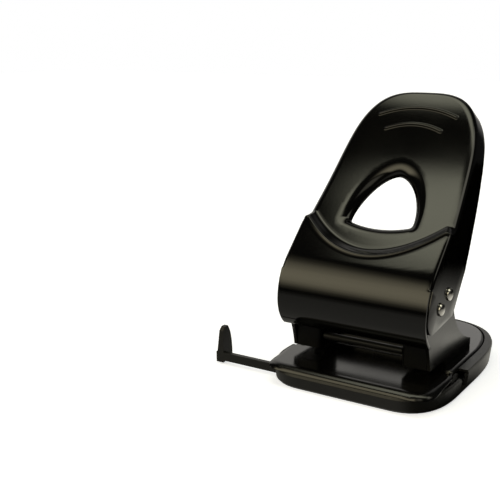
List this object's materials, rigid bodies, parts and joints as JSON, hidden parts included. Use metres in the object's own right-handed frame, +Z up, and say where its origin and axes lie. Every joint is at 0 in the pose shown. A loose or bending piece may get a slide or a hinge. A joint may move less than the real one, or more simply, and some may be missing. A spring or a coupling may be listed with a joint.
{
  "type": "heavy duty hole punch",
  "caption": "Heavy duty desk punch: a pressed steel lever drives a pair of spring-loaded pins through a paper slot, over a chip drawer, with a sliding paper guide.",
  "frame": {"origin": "on the desk under the base, midway between the two punches and straight below their centres", "axes": "+X to the user's right along the line of the punches, +Y away from the user towards the rear of the base, +Z up"},
  "size_m": [0.1728, 0.1653, 0.1919],
  "materials": {
    "black_paint": "gloss black enamel on pressed steel",
    "black_plastic": "satin black moulded plastic",
    "bright_steel": "bright plated steel",
    "zinc_steel": "zinc plated steel",
    "spring_steel": "drawn spring wire",
    "washer_nylon": "natural nylon"
  },
  "bodies": {
    "frame": {"base_shell": "black_plastic", "base_plate": "black_paint", "die_plate": "zinc_steel", "paper_stop": "black_paint", "tie_rod": "bright_steel", "pivot_axle": "bright_steel", "pivot_sleeve": "zinc_steel", "side_plate_left": "black_paint", "punch_housing_left": "black_paint", "stripper_left": "zinc_steel", "upper_guide_left": "zinc_steel", "return_spring_left": "spring_steel", "pivot_washer_left": "washer_nylon", "deck_rivet_left": "bright_steel", "foot_rivet_left_front": "bright_steel", "foot_rivet_left_rear": "bright_steel", "side_plate_right": "black_paint", "punch_housing_right": "black_paint", "stripper_right": "zinc_steel", "upper_guide_right": "zinc_steel", "return_spring_right": "spring_steel", "pivot_washer_right": "washer_nylon", "deck_rivet_right": "bright_steel", "foot_rivet_right_front": "bright_steel", "foot_rivet_right_rear": "bright_steel"},
    "lever": {"lever": "black_paint", "drive_axle": "bright_steel"},
    "punch_left": {"punch_pin_left": "bright_steel", "spring_collar_left": "zinc_steel"},
    "punch_right": {"punch_pin_right": "bright_steel", "spring_collar_right": "zinc_steel"},
    "drawer": {"chip_drawer": "black_plastic"},
    "guide": {"paper_guide": "black_plastic"}
  },
  "joints": [
    {"name": "lever_pivot", "type": "hinge", "parent": "frame", "child": "lever", "pos_m": [0, -0.014, 0.0619], "axis": [-1, 0, 0], "range_deg": [0, 43], "stiffness_Nm_per_rad": 1.2, "springref_deg": -28.65},
    {"name": "punch_slide_left", "type": "slide", "parent": "frame", "child": "punch_left", "axis": [0, 0, -1], "range_m": [0, 0.0116], "deforming": ["return_spring_left"]},
    {"name": "punch_slide_right", "type": "slide", "parent": "frame", "child": "punch_right", "axis": [0, 0, -1], "range_m": [0, 0.0116], "deforming": ["return_spring_right"]},
    {"name": "drawer_slide", "type": "slide", "parent": "frame", "child": "drawer", "axis": [0, 1, 0], "range_m": [0, 0.055]},
    {"name": "guide_slide", "type": "slide", "parent": "frame", "child": "guide", "axis": [-1, 0, 0], "range_m": [-0.025, 0.0485]}
  ],
  "couplings": [
    {"joint": "punch_slide_left", "follows": "lever_pivot", "m_per_rad": 0.015256},
    {"joint": "punch_slide_right", "follows": "lever_pivot", "m_per_rad": 0.015256}
  ]
}
